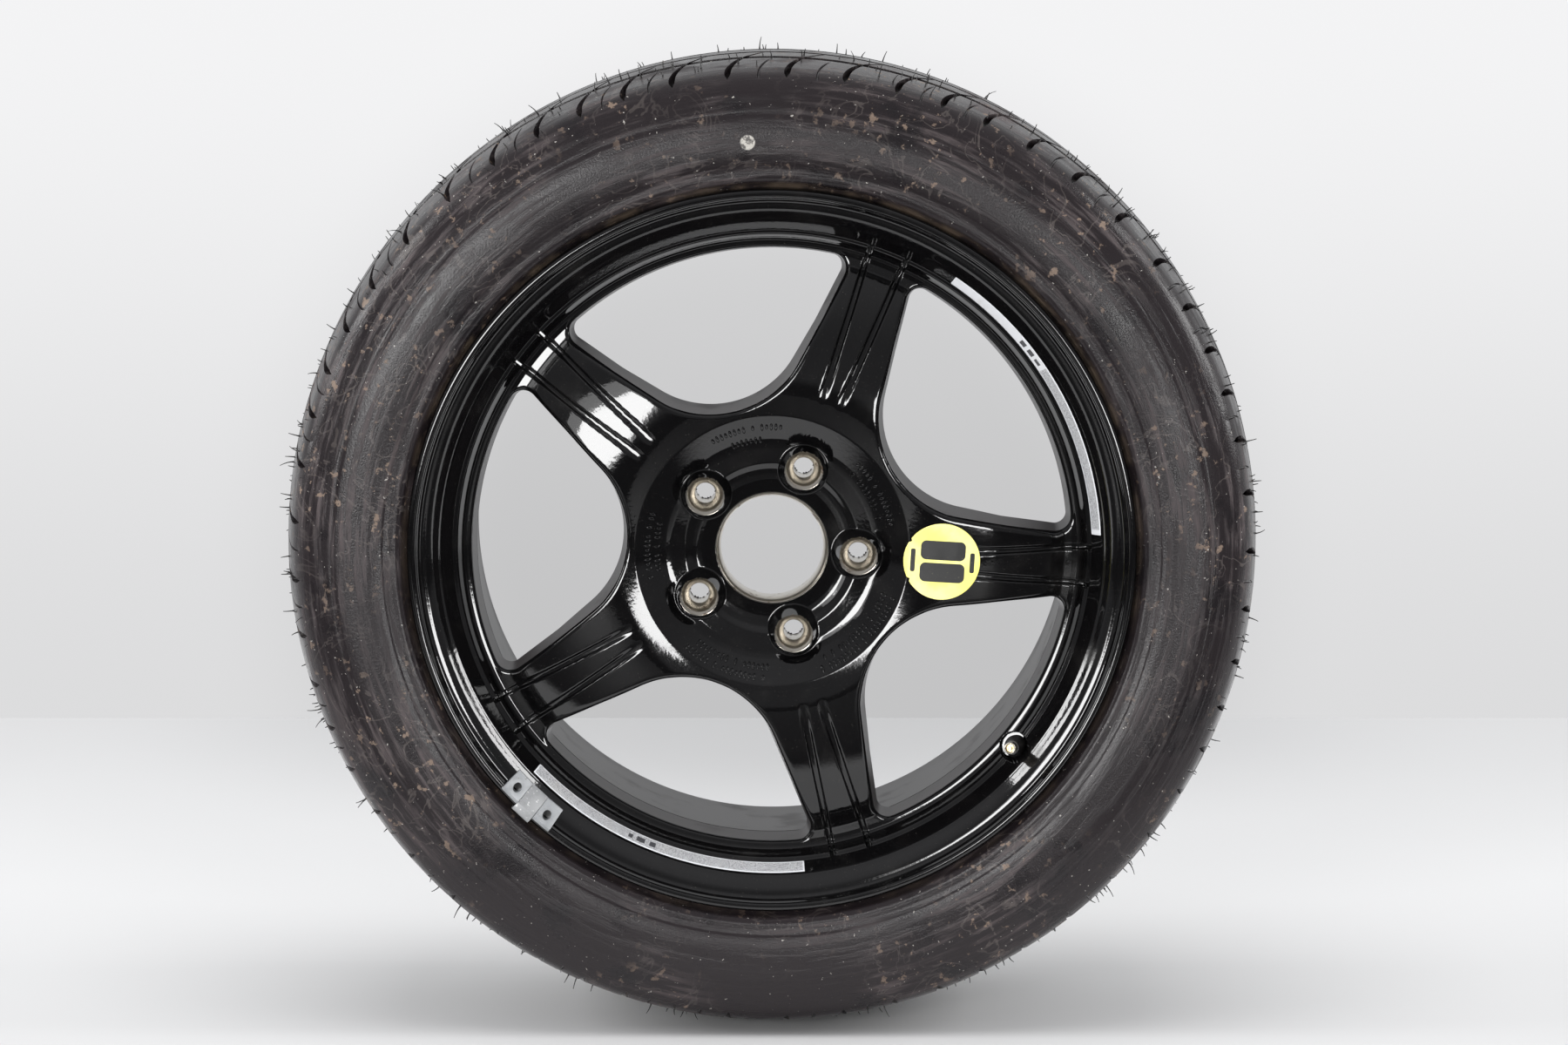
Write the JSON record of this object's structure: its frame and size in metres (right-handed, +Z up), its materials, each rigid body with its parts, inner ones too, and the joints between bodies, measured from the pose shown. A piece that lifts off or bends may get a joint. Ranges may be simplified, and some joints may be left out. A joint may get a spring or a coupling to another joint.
{
  "type": "spare wheel",
  "caption": "Gloss black cast alloy car wheel with grooved spokes and a fitted road tyre, snap-in valve, clip-on balance weight, rim labels and a round sticker.",
  "frame": {"origin": "centre of the hub's mounting face, on the spin axis", "axes": "+Y along the spin axis towards the car, +Z up as the wheel stands, outboard face to -Y"},
  "size_m": [0.6367, 0.2258, 0.6368],
  "materials": {
    "alloy_rim": "gloss",
    "tyre": "matte",
    "valve_rubber": "satin",
    "nickel_plate": "polished",
    "brass": "satin",
    "spring_steel": "satin",
    "weight_paint": "satin",
    "clip_steel": "satin",
    "yellow_paper": "satin",
    "silver_paper": "satin"
  },
  "bodies": {
    "wheel": {"alloy_rim": "alloy_rim", "wheel_spokes": "alloy_rim", "wheel_hub": "alloy_rim", "tyre": "tyre", "valve_stem": "valve_rubber", "valve_tube": "nickel_plate", "valve_core": "brass", "core_gasket": "valve_rubber", "valve_spring": "spring_steel", "balance_weight": "weight_paint", "weight_clip": "clip_steel", "speed_sticker": "yellow_paper", "rim_label_upper": "silver_paper", "rim_label_lower": "silver_paper"},
    "pin": {"valve_pin": "brass", "valve_seal": "valve_rubber"}
  },
  "joints": [
    {"name": "valve_pin_press", "type": "slide", "parent": "wheel", "child": "pin", "axis": [0.1599, 0.9781, -0.1329], "range_m": [0, 0.0015], "stiffness_N_per_m": 800, "springref_m": -0.003, "deforming": ["valve_spring"]}
  ]
}
